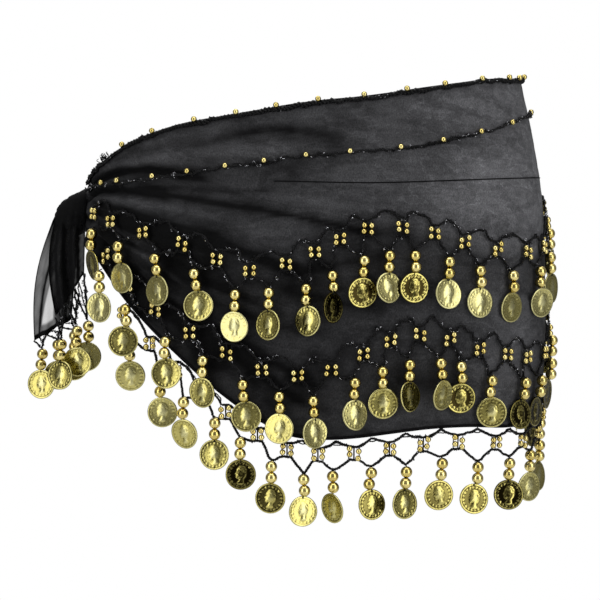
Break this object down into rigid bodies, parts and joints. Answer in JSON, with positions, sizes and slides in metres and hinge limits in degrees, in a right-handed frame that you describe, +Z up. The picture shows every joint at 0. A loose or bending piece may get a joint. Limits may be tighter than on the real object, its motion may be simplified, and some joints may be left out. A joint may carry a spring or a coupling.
{
  "type": "coin hip scarf",
  "caption": "Sheer black hip scarf for dancing, tied at one side, with crocheted rows of gold beads and hanging coins",
  "frame": {"origin": "middle of the wearer's hips at the height of the knot, the point where the scarf is held", "axes": "+X to the side away from the knot, so the knot is at -X; the front faces -Y; +Z up"},
  "size_m": [0.3818, 0.265, 0.3142],
  "materials": {
    "chiffon": "sheer black chiffon, soft and matt",
    "yarn": "crocheted black yarn",
    "gold": "thin stamped metal with a bright gold plating"
  },
  "bodies": {
    "root": {"front_stretch": "chiffon", "back_stretch": "chiffon", "knot": "chiffon", "tail_front": "chiffon", "tail_rear": "chiffon", "waist_trim": "yarn", "second_trim": "yarn", "row_one": "gold", "row_two": "gold", "hem_net": "gold", "tail_front_drops": "gold", "tail_rear_drops": "gold"}
  },
  "joints": []
}
